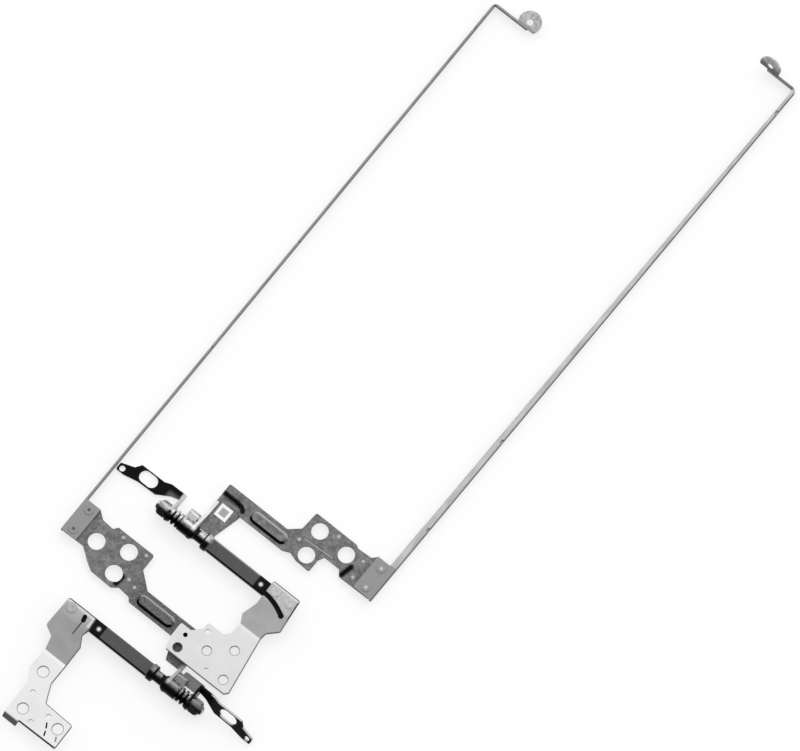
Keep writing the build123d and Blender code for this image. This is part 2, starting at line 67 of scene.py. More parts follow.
# Places on a hinge, in millimetres along the shaft (outboard), along the rail and up from the table
SHAFT_Z = 3.2
SHAFT_TIP_X = -13.6
NECK_X = 1.4
NECK_R = 1.9
RIVET_HEAD_Z = 5.4
PLATE_TOP = 1.8
LEAF_TOP = 1.0
PAD_TOP = 5.2
BASE_TOP = 3.4
BASE_HOLES = {"left": (((33.6, -21.6), 1.8), ((31.1, -34.9), 1.8), ((18.3, -33.2), 1.8)),
              "right": (((35.5, -21.8), 1.5), ((38.6, -31.4), 1.5),
                        ((20.7, -32.3), 1.5), ((28.6, -27.3), 1.5))}
PIN_AT = (28.5, 0.0)
ARM_RIVETS = {"left": ((39.5, -0.1),), "right": ((33.8, 0.9), (39.6, 0.8))}
PRESSED_DOTS = {"left": ((41.6, 28.4), (32.2, 28.4), (31.6, 18.9), (28.6, 18.0)),
                "right": ((37.6, 28.0), (48.7, 26.6), (28.4, 19.4), (49.4, 20.5))}
RAIL_RIVETS = {"left": ((55.606, 28.4), (55.606, 20.6)), "right": ((54.666, 28.4), (54.666, 20.6))}
PLATE_BEND = {"left": -15.5, "right": -13.7}
JOGGLE = ((0.9, 16.5), (5.6, 16.5), (7.4, 16.2), (8.5, 15.5), (9.1, 14.4))
# Plate edges turned away from the light, along which shade is painted
PLATE_OUTLINE = {"left": ((30.5, -2.6), (31.2, -4.9), (29.2, -8.3), (29.1, -23.0), (26.4, -29.0),
                          (15.3, -29.4), (15.0, -38.8)),
                 "right": ((41.8, 3.5), (43.1, -8.2), (39.8, -11.4), (39.5, -13.7), (42.8, -33.7),
                           (41.6, -35.0), (18.0, -35.0))}
SHADED_EDGE = ((15.0, -38.8), (29.8, -39.0))
CREASE = {"left": ((33.7, 19.0), (34.1, 14.8)), "right": ((45.9, 18.4), (47.0, 23.4))}
BEAD = ((29.6, 20.6), (40.6, 21.3))
GROOVE_CENTRE = (30.366, -20.639)
GROOVE_RADIUS = 19.14
GROOVE_END = (40.0, -4.1)
LABEL_AT = (4.2, 11.2)
BOSS_AT = (SHAFT_TIP_X + 0.05, 0, SHAFT_Z - 0.1)
CROWN_Z = RIVET_HEAD_Z - 0.01
GREASE_SAG_Z = SHAFT_Z - 1.6

# Ends between which a finish changes, along one axis of a hinge
STRIP_FADE = (34.0, 25.0)
RAIL_START = (30.9, 31.3)
EAR_START = {"left": (238.3, 239.4), "right": (232.9, 233.6)}
PAD_FACE_Z = (4.9, 5.1)
PAD_RIM_Z = (4.65, 4.85)
PIN_Z = (4.6, 4.4)
TURNED_END = (8.2, 7.4)
ARM_TIP = {"left": (26.4, 27.0), "right": (26.2, 27.0)}
DARK_RINGS = ((2.0, 3.0), (5.3, 5.9))

# Areas of a hinge, as their ends along the shaft and along the rail
RIB = ((11.0, 26.2), (14.0, 18.6))
UPRIGHT = ((-0.2, 1.1), (-4.0, 13.0))
RAIL_LEG = ((46.0, 58.0), (231.0, 234.0))
PAD_CORNER = ((30.0, 32.0), (-2.0, 2.3))
PAD_SCORE = ((33.72, 34.22), (-6.6, -1.2))
TAB = ((29.6, 35.3), (-42.0, -39.2))
STRUCK_LINES = ((15.8, 22.8), (-38.0, -33.2))
TAIL_FOLD = ((-9.6, -8.0), (0.5, 8.5))
TAIL_SHEEN = ((-13.6, -9.4), (3.6, 6.0))
LINK_PLATE = ((-9.3, -0.8), (3.4, 7.6))

# How bright each hinge's steel is, as shares of the finishes' colours; the upright's and the arms' bevel
# levels set painted highlights
UPRIGHT_HIGHLIGHT_LEVEL = {"left": 0.55, "right": 1.0}
PLATE_LEVEL = {"left": (1.0, 1.0), "right": (0.9, 1.2)}
BEVEL_HIGHLIGHT_LEVEL = {"left": 1.8, "right": 4.0}
TURNED_LEVEL = {"left": 0.26, "right": 0.7}
STACK_LEVEL = {"left": 0.30, "right": 0.74}
BOSS_LEVEL = {"left": 0.7, "right": 0.9}

# A peened crown's foot and then its steps inwards, as shares of its radius and height
CROWN_FOOT = 0.55
CROWN_STEPS = ((0.14, 0.3), (0.22, 0.15), (0.18, -0.45))

# How far from its loose corner each lift of the label reaches, as shares of its side
CURL_STEPS = (0.45, 0.30, 0.18)

# The middle of a noise texture's range, where its blotches lie
NOISE_SPAN = (0.3, 0.7)

# The key lamp's sides in metres, the span over which the sky brightens, and the camera's sensor
KEY_LAMP_SIZE = (1.6, 0.8)
SKY_SPAN = (-0.35, 0.75)
SENSOR_WIDTH = 36.0

# Pieces of a friction stack, with how bright their steel is and the radius up to which black grease and
# painted shade cover them
STACK = (("friction_washers", 0.9, 2.2), ("spring_washers", 1.2, 1.8), ("end_washer", 0.8, 1.9),
         ("lock_nut", 1.15, 0.4), ("detent_cam", 0.95, 0.4))


def at_hinge(side, x, y, z):
    """A point of one hinge, in millimetres, as a place in the frame."""
    start = HINGE_POINT[side]
    return Vector((start[0] + OUTBOARD[side] * x, start[1] + y, z)) * MM


class FinishSettings(bpy.types.PropertyGroup):
    """Colours of the hinge pair's finishes."""
    bracket_grey: FloatVectorProperty(
        name="Lid bracket", description="Grey of the lid brackets' rolled steel sheet",
        subtype="COLOR", size=4, min=0, max=1, default=(0.142, 0.142, 0.142, 1))
    rail_grey: FloatVectorProperty(
        name="Screen rail", description="Grey of the left screen rail and the rails' feet",
        subtype="COLOR", size=4, min=0, max=1, default=(0.26, 0.26, 0.26, 1))
    rail_pale: FloatVectorProperty(
        name="Pale rail", description="Paler strip of the right screen rail and the ears",
        subtype="COLOR", size=4, min=0, max=1, default=(0.46, 0.46, 0.46, 1))
    plate_white: FloatVectorProperty(
        name="Screw plate", description="Pale plating of the base brackets' screw plates",
        subtype="COLOR", size=4, min=0, max=1, default=(0.76, 0.76, 0.76, 1))
    pad_grey: FloatVectorProperty(
        name="Riveting pad", description="Grey of the base brackets' pads and slopes",
        subtype="COLOR", size=4, min=0, max=1, default=(0.32, 0.32, 0.32, 1))
    # Pale grey of the right pad and its rivets, also used as the painted highlight on the pads' rims
    pale_pad_and_highlight: FloatVectorProperty(
        name="Coined rim", description="Paler rim coined round the riveting pads",
        subtype="COLOR", size=4, min=0, max=1, default=(0.46, 0.46, 0.46, 1))
    arm_grey: FloatVectorProperty(
        name="Shaft arm", description="Dark oxide grey of the flat shaft arms",
        subtype="COLOR", size=4, min=0, max=1, default=(0.067, 0.067, 0.067, 1))
    bare_steel: FloatVectorProperty(
        name="Bare steel", description="Bright steel of the washers, springs, cam and nut",
        subtype="COLOR", size=4, min=0, max=1, default=(0.62, 0.62, 0.62, 1))
    # Black of the grease collars and the friction stacks' grease, also used as painted shade in bends,
    # grooves, creases, along edges and on sides towards -Y
    grease_and_shade_black: FloatVectorProperty(
        name="Grease", description="Black grease and oxide in bends, grooves and the friction stack",
        subtype="COLOR", size=4, min=0, max=1, default=(0.008, 0.008, 0.008, 1))
    tail_black: FloatVectorProperty(
        name="Tail bracket", description="Satin black of the tail brackets",
        subtype="COLOR", size=4, min=0, max=1, default=(0.007, 0.007, 0.007, 1))
    paper_white: FloatVectorProperty(
        name="Label", description="White of the paper label's border",
        subtype="COLOR", size=4, min=0, max=1, default=(0.88, 0.88, 0.88, 1))
    field_grey: FloatVectorProperty(
        name="Label field", description="Plain grey field inside the label's border",
        subtype="COLOR", size=4, min=0, max=1, default=(0.36, 0.36, 0.36, 1))


class PieceSettings(bpy.types.PropertyGroup):
    """Sizes of the fine pieces."""
    label_size: FloatProperty(
        name="Label", description="Side of the square label", unit="LENGTH", default=0.0045, min=0.001)
    label_paper: FloatProperty(
        name="Label paper", description="Thickness of the label", unit="LENGTH",
        default=0.0001, min=0.00001)
    label_border: FloatProperty(
        name="Label border", description="White border round the label's field", unit="LENGTH",
        default=0.00095, min=0)
    label_curl: FloatProperty(
        name="Label curl", description="Lift of the label's loose corner", unit="LENGTH",
        default=0.00018, min=0)
    crown_radius: FloatProperty(
        name="Rivet crown", description="Radius of the peened crown on a rivet head", unit="LENGTH",
        default=0.0015, min=0.0001)
    crown_height: FloatProperty(
        name="Crown height", description="Height of a rivet's peened crown", unit="LENGTH",
        default=0.00014, min=0)
    stake_radius: FloatProperty(
        name="Staked end", description="Radius of the staked boss on the shaft's tip", unit="LENGTH",
        default=0.00115, min=0.0001)
    stake_length: FloatProperty(
        name="Staked length", description="How far the staked boss stands off the shaft's tip",
        unit="LENGTH", default=0.00035, min=0)
    grease_thickness: FloatProperty(
        name="Grease collar", description="Thickness of the grease pressed out beside the friction washer",
        unit="LENGTH", default=0.00034, min=0)
    round_steps: IntProperty(
        name="Round steps", description="Corners in each small round piece", default=28, min=8)


class StageSettings(bpy.types.PropertyGroup):
    """Camera, floor and lamps."""
    target: FloatVectorProperty(
        name="Target", description="Point of the table that the camera looks at",
        subtype="TRANSLATION", unit="LENGTH", size=3, default=(0.006670, 0.005764, 0.0))
    distance: FloatProperty(
        name="Distance", description="Camera's distance from the target",
        unit="LENGTH", default=10.0, min=0.3)
    tilt: FloatProperty(
        name="Tilt", description="Camera's lean from straight overhead",
        subtype="ANGLE", default=math.radians(13.1))
    heading: FloatProperty(
        name="Heading", description="Turn of the picture on the table",
        subtype="ANGLE", default=math.radians(39.017))
    frame_width: FloatProperty(
        name="Frame width", description="Width of table that the picture takes in",
        unit="LENGTH", default=0.253987, min=0.01)
    floor_size: FloatProperty(
        name="Floor", description="Side of the square floor", unit="LENGTH", default=8.0, min=1)
    floor_white: FloatVectorProperty(
        name="Floor white", description="Colour of the studio floor",
        subtype="COLOR", size=4, min=0, max=1, default=(0.95, 0.95, 0.95, 1))
    floor_glow: FloatProperty(
        name="Floor glow", description="Share of the floor that is plain white however it is lit",
        subtype="FACTOR", default=0.7, min=0, max=1)
    key_place: FloatVectorProperty(
        name="Key place", description="Place of the soft lamp behind the hinges",
        subtype="TRANSLATION", unit="LENGTH", size=3, default=(-0.30, 1.50, 1.50))
    key_power: FloatProperty(
        name="Key lamp", description="Power of the soft lamp behind the hinges, in watts",
        default=8.0, min=0)
    sky_bright: FloatProperty(
        name="Bright sky", description="Level of the soft light on the rails' side", default=1.27, min=0)
    sky_dark: FloatProperty(
        name="Dark sky", description="Level of the soft light on the other side", default=0.30, min=0)
    sky_towards: FloatVectorProperty(
        name="Sky towards", description="Direction in which the soft light is brightest",
        subtype="DIRECTION", size=3, default=(-0.148, 0.791, 0.593))


class Finish:
    """Builds one procedural material on a hinge's own millimetre coordinates."""

    def __init__(self, name, side):
        self.material = bpy.data.materials.new(name)
        self.material.use_nodes = True
        self.tree = self.material.node_tree
        self.shader = self.tree.nodes["Principled BSDF"]
        coordinates = self.tree.nodes.new("ShaderNodeTexCoord")
        self.place = self.tree.nodes.new("ShaderNodeMapping")
        start = HINGE_POINT[side]
        self.place.inputs["Location"].default_value = (-OUTBOARD[side] * start[0], -start[1], 0)
        self.place.inputs["Scale"].default_value = (OUTBOARD[side] / MM, 1 / MM, 1 / MM)
        self.link(coordinates.outputs["Object"], self.place.inputs["Vector"])
        self.x, self.y, self.z = self.split(self.place.outputs["Vector"])
        # Normals keep the frame's axes, so facing_x points inboard on the left hinge
        self.facing_x, self.facing_y, self.facing_z = self.split(coordinates.outputs["Normal"])
        self.coat = None

    def link(self, source, target):
        self.tree.links.new(source, target)

    def split(self, vector):
        """The three parts of a vector."""
        node = self.tree.nodes.new("ShaderNodeSeparateXYZ")
        self.link(vector, node.inputs["Vector"])
        return node.outputs["X"], node.outputs["Y"], node.outputs["Z"]

    def noise(self, size, stretch=(1, 1, 1), detail=4.0, roughness=0.6):
        """Noise whose blotches are about size millimetres, drawn out along an axis by stretch."""
        turn = self.tree.nodes.new("ShaderNodeMapping")
        turn.inputs["Scale"].default_value = [1 / (size * s) for s in stretch]
        self.link(self.place.outputs["Vector"], turn.inputs["Vector"])
        texture = self.tree.nodes.new("ShaderNodeTexNoise")
        texture.inputs["Scale"].default_value = 1.0
        texture.inputs["Detail"].default_value = detail
        texture.inputs["Roughness"].default_value = roughness
        self.link(turn.outputs["Vector"], texture.inputs["Vector"])
        return texture.outputs["Fac"]

    def ramp(self, value, start, end, low=0.0, high=1.0):
        """A value carried smoothly from low to high between two ends."""
        node = self.tree.nodes.new("ShaderNodeMapRange")
        node.interpolation_type = "SMOOTHSTEP"
        node.inputs["From Min"].default_value = start
        node.inputs["From Max"].default_value = end
        node.inputs["To Min"].default_value = low
        node.inputs["To Max"].default_value = high
        self.link(value, node.inputs["Value"])
        return node.outputs["Result"]

    def both(self, *masks):
        """Several masks multiplied together."""
        product = masks[0]
        for mask in masks[1:]:
            node = self.tree.nodes.new("ShaderNodeMath")
            node.operation = "MULTIPLY"
            self.link(product, node.inputs[0])
            self.link(mask, node.inputs[1])
            product = node.outputs["Value"]
        return product

    def band(self, value, start, end, soft=0.08):
        """One between two ends and nothing outside them."""
        return self.both(self.ramp(value, start - soft, start + soft),
                         self.ramp(value, end - soft, end + soft, 1.0, 0.0))

    def area(self, x=None, y=None, z=None, soft=0.08):
        """One inside a box given by its ends along the hinge's axes."""
        pairs = ((self.x, x), (self.y, y), (self.z, z))
        return self.both(*[self.band(value, *ends, soft) for value, ends in pairs if ends])

    def vector(self, operation, source, value=None):
        """One step of vector arithmetic with a plain second vector."""
        node = self.tree.nodes.new("ShaderNodeVectorMath")
        node.operation = operation
        self.link(source, node.inputs[0])
        if value is not None:
            node.inputs[1].default_value = value
        return node

    def reach(self, centre, scale):
        """Distance from a point, counting only the axes whose scale is one."""
        offset = self.vector("SUBTRACT", self.place.outputs["Vector"], centre)
        flat = self.vector("MULTIPLY", offset.outputs["Vector"], scale)
        return self.vector("LENGTH", flat.outputs["Vector"]).outputs["Value"]

    def along(self, start, direction):
        """Distance from a point along a direction, seen from above."""
        offset = self.vector("SUBTRACT", self.place.outputs["Vector"], (*start, 0))
        course = (*Vector(direction).normalized(), 0)
        return self.vector("DOT_PRODUCT", offset.outputs["Vector"], course).outputs["Value"]

    def stroke(self, start, end, width, soft=0.15):
        """One on a straight line of some width, seen from above."""
        run = Vector(end) - Vector(start)
        lengthwise = self.band(self.along(start, run), 0, run.length, soft)
        across = self.band(self.along(start, (-run.y, run.x)), -width / 2, width / 2, soft)
        return self.both(lengthwise, across)

    def cut_edge(self):
        """One on the upright edges of the sheet."""
        return self.both(self.ramp(self.facing_z, 0.55, 0.25), self.ramp(self.facing_z, -0.55, -0.25))

    def spot(self, at, inner, outer):
        """One within a round spot seen from above, fading out to its outer radius."""
        return self.ramp(self.reach((at[0], at[1], 0), (1, 1, 0)), inner, outer, 1.0, 0.0)

    def shaft_radius(self):
        """Distance from the shaft line."""
        return self.reach((0, 0, SHAFT_Z), (0, 1, 1))

    def mix(self, factor, first, second):
        """Two colours mixed by a mask; a colour may be a plain one or a socket."""
        node = self.tree.nodes.new("ShaderNodeMix")
        node.data_type = "RGBA"
        node.clamp_factor = True
        # A colour mix takes its colours at 6 and 7 and gives its result at 2
        self.link(factor, node.inputs[0])
        for colour, socket in ((first, node.inputs[6]), (second, node.inputs[7])):
            if isinstance(colour, bpy.types.NodeSocket):
                self.link(colour, socket)
            else:
                socket.default_value = tuple(colour)
        return node.outputs[2]

    def mottle(self, colour, texture, spread):
        """A colour that wanders darker and lighter with a texture."""
        return self.mix(self.ramp(texture, *NOISE_SPAN),
                        shade(colour, 1 - spread), shade(colour, 1 + spread))

    def paint(self, mask, colour):
        """Lays a colour over what is there."""
        self.coat = self.mix(mask, self.coat, colour)

    def seal(self, grain, rough, depth, metal, sheen=0.5):
        """Ends the finish: colour, gloss between two roughnesses, relief in millimetres, and dull dark
        coats, painted shade among them.
        """
        self.link(self.coat, self.shader.inputs["Base Color"])
        self.link(self.ramp(grain, *NOISE_SPAN, *rough), self.shader.inputs["Roughness"])
        relief = self.tree.nodes.new("ShaderNodeBump")
        relief.inputs["Strength"].default_value = 1.0
        relief.inputs["Distance"].default_value = depth * MM
        self.link(grain, relief.inputs["Height"])
        self.link(relief.outputs["Normal"], self.shader.inputs["Normal"])
        self.link(self.ramp(self.coat, 0.0, DARK_COAT_LEVEL, 1.0, metal), self.shader.inputs["Metallic"])
        self.shader.inputs["Specular IOR Level"].default_value = sheen

    def give(self, *pieces):
        """Puts the finish on solids by name, or on new pieces."""
        for piece in pieces:
            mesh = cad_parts[piece].data if isinstance(piece, str) else piece.data
            mesh.materials.clear()
            mesh.materials.append(self.material)


def shade(colour, factor):
    """A colour made lighter or darker."""
    return tuple(min(1.0, value * factor) for value in colour[:3]) + (1.0,)


def rivet_grey(finishes, side):
    """The grey of the base brackets' rivets, which follows their pad."""
    return {"left": shade(finishes.pad_grey, 1.15), "right": finishes.pale_pad_and_highlight}[side]


def start_edit(context):
    """Opens the new primitive for shaping, with nothing selected."""
    bpy.ops.object.mode_set(mode="EDIT")
    context.tool_settings.mesh_select_mode = (False, False, True)
    bpy.ops.mesh.select_all(action="DESELECT")


def choose(piece, test):
    """Selects the points of a piece in edit mode by their place in the frame."""
    context = bpy.context
    context.tool_settings.mesh_select_mode = (True, False, False)
    bpy.ops.mesh.select_all(action="DESELECT")
    mesh = bmesh.from_edit_mesh(piece.data)
    for vert in mesh.verts:
        vert.select = test(piece.matrix_world @ vert.co)
    mesh.select_flush_mode()
    bmesh.update_edit_mesh(piece.data)


def choose_end(piece, direction):
    """Selects the face of a piece that lies farthest along a direction."""
    bpy.context.tool_settings.mesh_select_mode = (False, False, True)
    bpy.ops.mesh.select_all(action="DESELECT")
    mesh = bmesh.from_edit_mesh(piece.data)
    mesh.faces.ensure_lookup_table()
    turn = piece.matrix_world.to_3x3()
    facing = [face for face in mesh.faces if (turn @ face.normal).dot(direction) > 0.9]
    ends = sorted(facing, key=lambda face: (piece.matrix_world @ face.calc_center_median()).dot(direction))
    if not ends:
        raise RuntimeError(f"{piece.name} has no face to shape")
    ends[-1].select = True
    mesh.faces.active = ends[-1]
    bmesh.update_edit_mesh(piece.data)


def end_edit(piece, smooth_angle=40):
    """Closes a piece: normals outward, place in its mesh, shaded smooth up to an angle."""
    bpy.ops.object.mode_set(mode="EDIT")
    bpy.ops.mesh.select_all(action="SELECT")
    bpy.ops.mesh.remove_doubles(threshold=0.000002)
    bpy.ops.mesh.normals_make_consistent(inside=False)
    bpy.ops.object.mode_set(mode="OBJECT")
    bpy.ops.object.transform_apply(location=True, rotation=True, scale=True)
    bpy.ops.object.shade_smooth_by_angle(angle=math.radians(smooth_angle))


def peened_disc(context, name, centre, direction, radius, height, steps):
    """A low round crown with a dimple, standing on a face and peened outwards along a direction."""
    bpy.ops.object.select_all(action="DESELECT")
    turn = direction.to_track_quat("Z", "Y").to_euler()
    bpy.ops.mesh.primitive_circle_add(vertices=steps, radius=radius, fill_type="NGON",
                                      location=centre, rotation=turn)
    disc = context.object
    disc.name = name
    start_edit(context)
    bpy.ops.mesh.select_all(action="SELECT")
    bpy.ops.mesh.extrude_region_move(TRANSFORM_OT_translate={"value": direction * height * CROWN_FOOT})
    choose_end(disc, direction)
    for inset, rise in CROWN_STEPS:
        bpy.ops.mesh.inset(thickness=radius * inset)
        bpy.ops.transform.translate(value=direction * height * rise)
    bpy.ops.object.mode_set(mode="OBJECT")
    return disc


class HINGE_OT_lid_brackets(bpy.types.Operator):
    """Rolled steel sheet on the two lid brackets, with painted shade on the cut edges, rib, bends and
    creases, painted highlights on the rib, bead and upright, and pale pressed dots.
    """
    bl_idname = "hinge.lid_brackets"
    bl_label = "Lid brackets"

    def execute(self, context):
        finishes = context.scene.hinge_finishes
        grey = finishes.bracket_grey
        for side in SIDES:
            sheet = Finish(f"{side}_lid_sheet", side)
            grain = sheet.noise(0.45)
            cloud = sheet.noise(3.2)
            sheet.coat = sheet.mottle(grey, sheet.noise(1.1), 0.32)
            sheet.paint(sheet.both(sheet.ramp(cloud, 0.46, 0.66), sheet.ramp(grain, 0.35, 0.65)),
                        shade(grey, 1.55))
            sheet.paint(sheet.both(sheet.ramp(cloud, 0.48, 0.34), sheet.ramp(grain, 0.65, 0.35)),
                        shade(grey, 0.62))
            sheet.paint(sheet.ramp(sheet.noise(1.1), 0.63, 0.72), shade(grey, 2.1))
            if side == "right":
                # Painted highlight along the raised bead
                sheet.paint(sheet.stroke(*BEAD, width=0.5), shade(grey, 2.0))
            else:
                sheet.paint(sheet.ramp(sheet.x, *STRIP_FADE),
                            sheet.mottle(shade(grey, 0.74), sheet.noise(0.9), 0.45))
            # Painted shade on the sheet's cut edges
            sheet.paint(sheet.cut_edge(), shade(grey, 0.15))
            # Painted shade on the rib's flank towards -Y and a painted highlight on its flank towards +Y
            rib = sheet.area(*RIB, z=(PLATE_TOP + 0.03, PLATE_TOP + 1.2), soft=0.03)
            sheet.paint(sheet.both(rib, sheet.ramp(sheet.facing_y, -0.15, -0.4)), finishes.grease_and_shade_black)
            sheet.paint(sheet.both(rib, sheet.ramp(sheet.facing_y, 0.2, 0.5)), shade(grey, 2.6))
            # Painted shade in the joggle's bend, over the slope and the strip beside it
            for start, end in zip(JOGGLE, JOGGLE[1:]):
                sheet.paint(sheet.stroke(start, end, width=1.5, soft=0.4), finishes.grease_and_shade_black)
                sheet.paint(sheet.spot(start, 0.4, 1.1), finishes.grease_and_shade_black)
            # Painted shade along the crease, soft and then black
            sheet.paint(sheet.stroke(*CREASE[side], width=2.2, soft=0.6), shade(grey, 0.4))
            sheet.paint(sheet.stroke(*CREASE[side], width=1.45, soft=0.25), finishes.grease_and_shade_black)
            for at in PRESSED_DOTS[side]:
                sheet.paint(sheet.spot(at, 0.35, 0.85), shade(grey, 2.9))
            # Painted highlight on the upright face, with painted shade on its end towards -Y
            upright = sheet.area(*UPRIGHT, z=(LEAF_TOP + 0.25, 7.0), soft=0.12)
            sheet.paint(upright, shade(finishes.bare_steel, UPRIGHT_HIGHLIGHT_LEVEL[side]))
            sheet.paint(sheet.both(upright, sheet.ramp(sheet.y, 0.4, -0.8)), finishes.grease_and_shade_black)
            sheet.seal(grain, rough=(0.38, 0.52), depth=0.012, metal=0.55)
            sheet.give(f"{side}_display_bracket")
        return {"FINISHED"}


class HINGE_OT_screen_rails(bpy.types.Operator):
    """Strip steel on the screen rails, their ears and their rivets."""
    bl_idname = "hinge.screen_rails"
    bl_label = "Screen rails"

    def execute(self, context):
        finishes = context.scene.hinge_finishes
        for side in SIDES:
            strip = Finish(f"{side}_rail_strip", side)
            grain = strip.noise(0.35)
            streak = strip.noise(1.4, (1, 5, 1))
            strip.coat = strip.mottle(finishes.rail_grey, grain, 0.08)
            along = finishes.rail_pale if side == "right" else shade(finishes.rail_grey, 0.95)
            on_strip = strip.ramp(strip.y, *RAIL_START)
            strip.paint(on_strip, strip.mottle(along, streak, 0.16))
            # Painted shade on the rail's sides and fillets, every face that does not face up
            strip.paint(strip.ramp(strip.facing_z, 0.75, 0.3), shade(finishes.rail_grey, 0.16))
            if side == "right":
                leg = strip.area(*RAIL_LEG, soft=0.2)
                strip.paint(leg, strip.mottle(shade(finishes.rail_grey, 0.5), streak, 0.2))
            ear_white = strip.mottle(shade(finishes.rail_pale, 0.85), strip.noise(1.3), 0.36)
            strip.paint(strip.ramp(strip.y, *EAR_START[side]), ear_white)
            strip.seal(grain, rough=(0.40, 0.55), depth=0.012, metal=0.25)
            strip.give(f"{side}_lcd_rail")

            rivet = Finish(f"{side}_rail_rivet", side)
            grain = rivet.noise(0.3)
            rivet.coat = rivet.mottle(finishes.rail_grey, grain, 0.06)
            centre = {"left": shade(finishes.rail_grey, 0.3), "right": shade(finishes.rail_pale, 1.3)}[side]
            for at in RAIL_RIVETS[side]:
                rivet.paint(rivet.spot(at, 0.25, 0.8), centre)
            rivet.seal(grain, rough=(0.40, 0.55), depth=0.01, metal=0.25)
            rivet.give(f"{side}_rail_rivets")
        return {"FINISHED"}


class HINGE_OT_base_brackets(bpy.types.Operator):
    """Pale plated screw plates, greyer pads and slopes, painted shade on edges and hole rims, and a painted
    highlight below the bend.
    """
    bl_idname = "hinge.base_brackets"
    bl_label = "Base brackets"

    def execute(self, context):
        finishes = context.scene.hinge_finishes
        for side in SIDES:
            plate = Finish(f"{side}_base_plating", side)
            grain = plate.noise(0.4)
            cloud = plate.noise(6.0)
            white, grey = PLATE_LEVEL[side]
            plate.coat = plate.mottle(shade(finishes.plate_white, white), cloud, 0.035)
            bend = PLATE_BEND[side]
            plate.paint(plate.ramp(plate.y, bend - 0.12, bend + 0.12),
                        plate.mottle(shade(finishes.pad_grey, grey), cloud, 0.08))
            # Painted highlight in a band just below the bend
            plate.paint(plate.band(plate.y, bend - 1.1, bend - 0.35, 0.25),
                        shade(finishes.plate_white, white * 1.1))
            # Painted shade on the plate's cut edges
            plate.paint(plate.cut_edge(), shade(finishes.pad_grey, 0.08))
            # Painted shade in a thin band along the plate's edges turned away from the light
            outline = PLATE_OUTLINE[side]
            for start, end in zip(outline, outline[1:]):
                plate.paint(plate.stroke(start, end, width=0.5, soft=0.12), shade(finishes.pad_grey, 0.3))
            # Painted shade in a ring round each hole's rim
            for at, radius in BASE_HOLES[side]:
                plate.paint(plate.spot(at, radius + 0.05, radius + 0.3), shade(finishes.pad_grey, 0.5))
            if side == "left":
                self.mark_left(plate, finishes)
            else:
                self.mark_right(plate, finishes)
            plate.seal(grain, rough=(0.46, 0.60), depth=0.006, metal=0.12)
            plate.give(f"{side}_base_bracket")

            rivet = Finish(f"{side}_arm_rivet", side)
            grain = rivet.noise(0.3)
            rivet.coat = rivet.mottle(rivet_grey(finishes, side), grain, 0.10)
            on_pin = rivet.ramp(rivet.z, *PIN_Z)
            rivet.paint(on_pin, shade(finishes.arm_grey, 0.8))
            rivet.paint(rivet.both(on_pin, rivet.spot(PIN_AT, 0.45, 0.75)), finishes.bare_steel)
            rivet.seal(grain, rough=(0.28, 0.4), depth=0.008, metal=0.5)
            rivet.give(f"{side}_arm_rivets")
        return {"FINISHED"}

    def mark_left(self, plate, finishes):
        """Painted highlights and a score on the left pad; painted shade on its rim, bottom edge,
        turned-down tab and struck lines.
        """
        # Painted highlight: the pad grows paler towards +Y, with a paler rim and corner
        on_pad = plate.ramp(plate.z, *PAD_FACE_Z)
        plate.paint(plate.both(plate.ramp(plate.y, -3.4, 1.2), on_pad), shade(finishes.pad_grey, 1.25))
        pale = shade(finishes.pale_pad_and_highlight, 1.35)
        plate.paint(plate.both(plate.ramp(plate.y, 0.6, 1.3), on_pad), pale)
        plate.paint(plate.area(*PAD_CORNER, z=(4.9, 5.4), soft=0.3), pale)
        # Painted shade on the rim's chamfers
        rim = plate.ramp(plate.z, *PAD_RIM_Z)
        plate.paint(plate.both(rim, plate.ramp(plate.facing_y, 0.3, 0.6)), shade(finishes.pad_grey, 0.12))
        plate.paint(plate.both(rim, plate.ramp(plate.facing_x, 0.3, 0.6)), shade(finishes.pad_grey, 0.2))
        # Painted shade along the plate's bottom edge
        plate.paint(plate.stroke(*SHADED_EDGE, width=0.9, soft=0.15), finishes.grease_and_shade_black)
        score = plate.area(*PAD_SCORE, z=(4.0, PAD_TOP + 0.1), soft=0.12)
        plate.paint(score, shade(finishes.pad_grey, 0.3))
        # Painted shade on the turned-down tab
        tab = plate.area(*TAB, z=(0.0, BASE_TOP - 0.3), soft=0.2)
        plate.paint(tab, shade(finishes.pad_grey, 0.22))
        # Painted shade in the struck lines' grooves, greyer where x is under 19
        struck = plate.area(*STRUCK_LINES, z=(BASE_TOP - 0.4, BASE_TOP - 0.04), soft=0.03)
        plate.paint(struck, finishes.grease_and_shade_black)
        plate.paint(plate.both(struck, plate.ramp(plate.x, 19.2, 18.8)), finishes.pad_grey)

    def mark_right(self, plate, finishes):
        """Mottled pad beyond the right bracket's groove, painted shade on its rim's chamfers and in the
        groove, and a painted highlight inside the rim.
        """
        on_pad = plate.ramp(plate.z, *PAD_FACE_Z)
        mottled = plate.mottle(finishes.pale_pad_and_highlight, plate.noise(1.3), 0.14)
        plate.paint(plate.both(plate.ramp(plate.y, -3.4, -2.2), on_pad), mottled)
        # Painted shade on the rim's chamfers
        rim = plate.ramp(plate.z, *PAD_RIM_Z)
        plate.paint(plate.both(rim, plate.ramp(plate.facing_x, 0.3, 0.6)), shade(finishes.pad_grey, 0.12))
        plate.paint(plate.both(rim, plate.ramp(plate.facing_y, 0.3, 0.6)), shade(finishes.pad_grey, 0.35))
        # Painted highlight in a band just inside the pad's rim
        plate.paint(plate.both(on_pad, plate.band(plate.y, 2.55, 3.05, 0.15)),
                    shade(finishes.pale_pad_and_highlight, 1.45))
